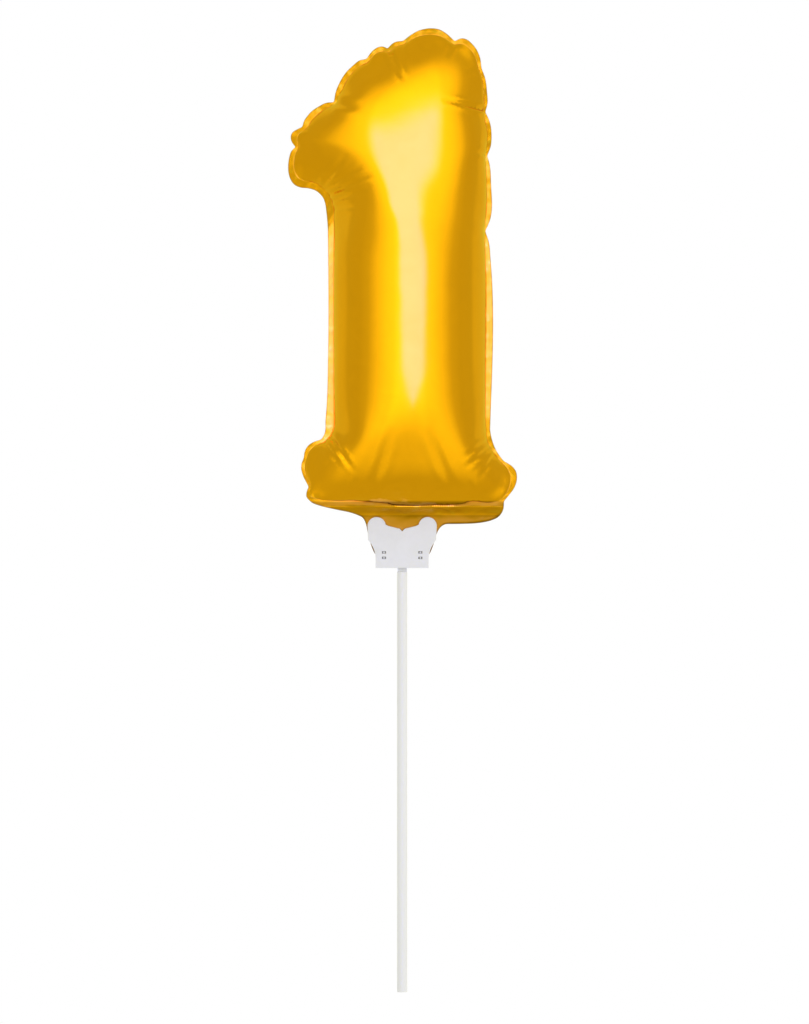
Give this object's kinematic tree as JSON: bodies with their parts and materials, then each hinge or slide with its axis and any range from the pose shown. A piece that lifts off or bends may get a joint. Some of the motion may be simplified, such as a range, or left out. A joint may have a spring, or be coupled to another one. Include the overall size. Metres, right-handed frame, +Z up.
{
  "type": "foil number balloon",
  "caption": "Gold foil balloon in the shape of a number, gripped at its tail by a folding plastic clip on a slim hollow stick.",
  "frame": {"origin": "centre of the stick's lower end", "axes": "+Z up along the stick, -Y towards the front of the balloon, +X to the right as seen from the front"},
  "size_m": [0.1374, 0.087, 0.5784],
  "materials": {
    "gold_film": "metallised, mirror bright",
    "clear_film": "clear, glossy",
    "white_clip_plastic": "moulded, satin",
    "white_stick_plastic": "extruded, satin"
  },
  "bodies": {
    "stick": {"stick_tube": "white_stick_plastic"},
    "clip_rear": {"clip_rear_plate": "white_clip_plastic", "clip_hinge_webs": "white_clip_plastic", "front_film_tail": "gold_film", "back_film_tail": "gold_film", "valve_front_mouth": "clear_film", "valve_back_mouth": "clear_film"},
    "clip_front": {"clip_front_plate": "white_clip_plastic"},
    "balloon": {"front_film_panel": "gold_film", "back_film_panel": "gold_film", "valve_front_strip": "clear_film", "valve_back_strip": "clear_film"}
  },
  "joints": [
    {"name": "clip_pull_off", "type": "slide", "parent": "stick", "child": "clip_rear", "axis": [0, 0, 1], "range_m": [0, 0.016]},
    {"name": "clip_fold", "type": "hinge", "parent": "clip_rear", "child": "clip_front", "pos_m": [0, 0, 0.254], "axis": [1, 0, 0], "range_deg": [0, 90], "deforming": ["clip_hinge_webs"]},
    {"name": "balloon_nod", "type": "hinge", "parent": "clip_rear", "child": "balloon", "pos_m": [0, 0, 0.289], "axis": [1, 0, 0], "range_deg": [-12, 12], "stiffness_Nm_per_rad": 0.06}
  ]
}
